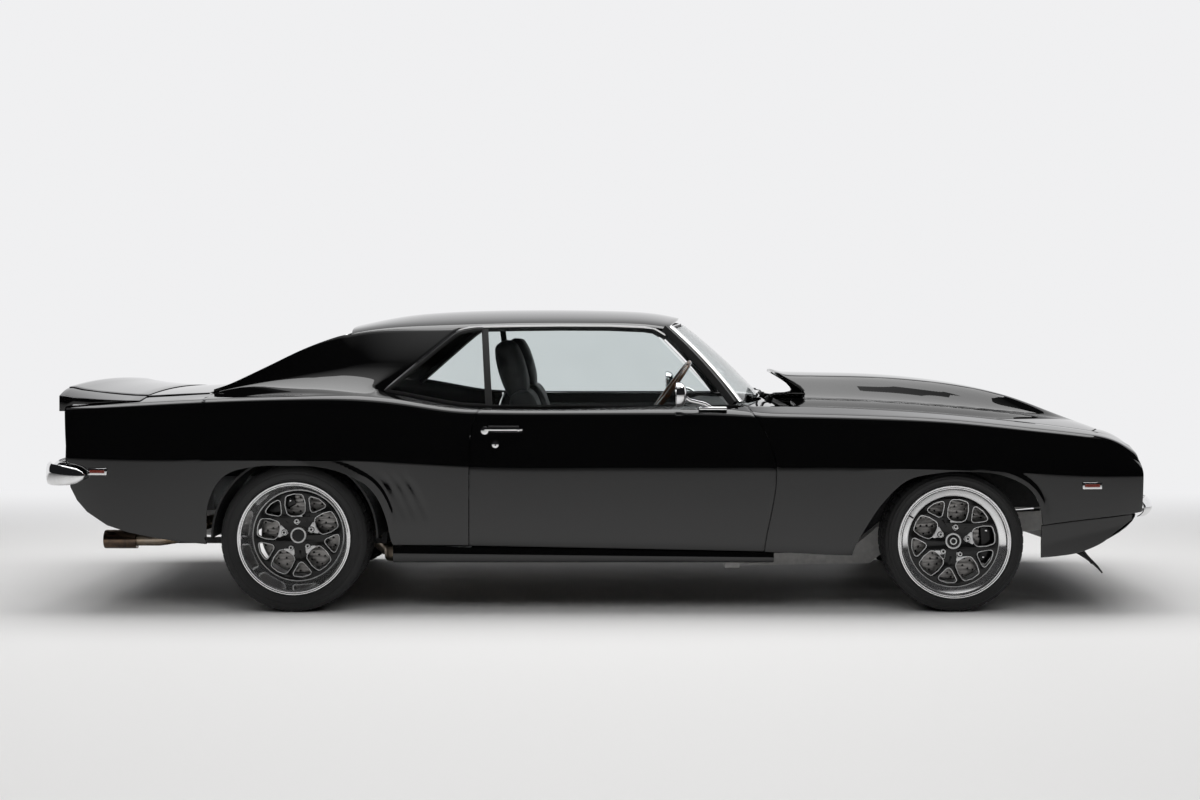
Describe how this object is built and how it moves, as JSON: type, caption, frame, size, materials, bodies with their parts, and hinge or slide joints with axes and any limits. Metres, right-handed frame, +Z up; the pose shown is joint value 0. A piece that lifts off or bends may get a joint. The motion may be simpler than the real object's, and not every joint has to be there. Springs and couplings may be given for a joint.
{
  "type": "muscle car",
  "caption": "Lowered black hardtop muscle car with opening doors, hood and trunk lid, turning wheels and steering",
  "frame": {"origin": "on the ground under the middle of the car's box", "axes": "+X forwards, +Y to the car's left, +Z up"},
  "size_m": [4.724, 1.9112, 1.2605],
  "materials": {
    "body_paint": "deep gloss black clear-coated paint",
    "chassis_paint": "satin dark grey underbody coat",
    "frame_coat": "satin light grey powder coat",
    "bright_chrome": "polished chrome",
    "grille_plastic": "satin black",
    "radiator_alloy": "brushed",
    "tinted_glass": "grey tint",
    "lamp_glass": "clear fluted glass",
    "red_lens": "deep red lens",
    "engine_iron": "painted casting",
    "tank_steel": "dull plated steel",
    "exhaust_steel": "heat-tinted steel",
    "axle_iron": "satin black casting",
    "seat_leather": "black leather",
    "dash_plastic": "padded black",
    "rim_wood": "varnished wood rim",
    "wheel_alloy": "black spokes with polished lip",
    "tyre_rubber": "clean black rubber"
  },
  "bodies": {
    "body": {"floor_pan": "chassis_paint", "front_subframe": "frame_coat", "rockers": "body_paint", "cowl_panel": "body_paint", "front_fender_left": "body_paint", "front_fender_right": "body_paint", "quarter_panel_left": "body_paint", "quarter_panel_right": "body_paint", "roof_panel": "body_paint", "windshield_frame": "body_paint", "tail_panel": "body_paint", "front_valance": "body_paint", "nose_panel": "body_paint", "grille": "grille_plastic", "front_bumper": "bright_chrome", "rear_bumper": "bright_chrome", "radiator": "radiator_alloy", "wheelhouses": "chassis_paint", "windshield": "tinted_glass", "rear_window": "tinted_glass", "quarter_glass": "tinted_glass", "headlamps": "lamp_glass", "tail_lamps": "red_lens", "engine_block": "engine_iron", "fuel_tank": "tank_steel", "exhaust_system": "exhaust_steel", "rear_axle": "axle_iron", "front_control_arms": "frame_coat", "front_seats": "seat_leather", "rear_seat": "seat_leather", "dashboard": "dash_plastic", "steering_wheel": "rim_wood", "spoiler_ends": "body_paint"},
    "door_left": {"door_left": "body_paint", "door_glass_left": "tinted_glass", "mirror_left": "bright_chrome"},
    "door_right": {"door_right": "body_paint", "door_glass_right": "tinted_glass", "mirror_right": "bright_chrome"},
    "hood": {"hood": "body_paint"},
    "trunk_lid": {"trunk_lid": "body_paint", "spoiler": "body_paint"},
    "knuckle_left": {"knuckle_left": "axle_iron"},
    "knuckle_right": {"knuckle_right": "axle_iron"},
    "wheel_front_left": {"wheel_front_left": "wheel_alloy", "tyre_front_left": "tyre_rubber"},
    "wheel_front_right": {"wheel_front_right": "wheel_alloy", "tyre_front_right": "tyre_rubber"},
    "wheel_rear_left": {"wheel_rear_left": "wheel_alloy", "tyre_rear_left": "tyre_rubber"},
    "wheel_rear_right": {"wheel_rear_right": "wheel_alloy", "tyre_rear_right": "tyre_rubber"}
  },
  "joints": [
    {"name": "door_left_hinge", "type": "hinge", "parent": "body", "child": "door_left", "pos_m": [0.62, 0.894, 0.6], "axis": [0, 0, -1], "range_deg": [0, 65]},
    {"name": "door_right_hinge", "type": "hinge", "parent": "body", "child": "door_right", "pos_m": [0.62, -0.894, 0.6], "axis": [0, 0, 1], "range_deg": [0, 65]},
    {"name": "hood_hinge", "type": "hinge", "parent": "body", "child": "hood", "pos_m": [0.8, 0, 0.93], "axis": [0, -1, 0], "range_deg": [0, 50]},
    {"name": "trunk_hinge", "type": "hinge", "parent": "body", "child": "trunk_lid", "pos_m": [-1.7, 0, 0.935], "axis": [0, 1, 0], "range_deg": [0, 70]},
    {"name": "steer_left", "type": "hinge", "parent": "body", "child": "knuckle_left", "pos_m": [1.437, 0.734, 0.293], "axis": [0, 0, 1], "range_deg": [-33, 33]},
    {"name": "steer_right", "type": "hinge", "parent": "body", "child": "knuckle_right", "pos_m": [1.437, -0.734, 0.293], "axis": [0, 0, 1], "range_deg": [-33, 33]},
    {"name": "wheel_front_left_spin", "type": "hinge", "parent": "knuckle_left", "child": "wheel_front_left", "pos_m": [1.437, 0.78, 0.293], "axis": [0, 1, 0], "continuous": true},
    {"name": "wheel_front_right_spin", "type": "hinge", "parent": "knuckle_right", "child": "wheel_front_right", "pos_m": [1.437, -0.78, 0.293], "axis": [0, 1, 0], "continuous": true},
    {"name": "wheel_rear_left_spin", "type": "hinge", "parent": "body", "child": "wheel_rear_left", "pos_m": [-1.306, 0.752, 0.308], "axis": [0, 1, 0], "continuous": true},
    {"name": "wheel_rear_right_spin", "type": "hinge", "parent": "body", "child": "wheel_rear_right", "pos_m": [-1.306, -0.752, 0.308], "axis": [0, 1, 0], "continuous": true}
  ],
  "couplings": [
    {"joint": "steer_right", "follows": "steer_left", "ratio": 1}
  ]
}
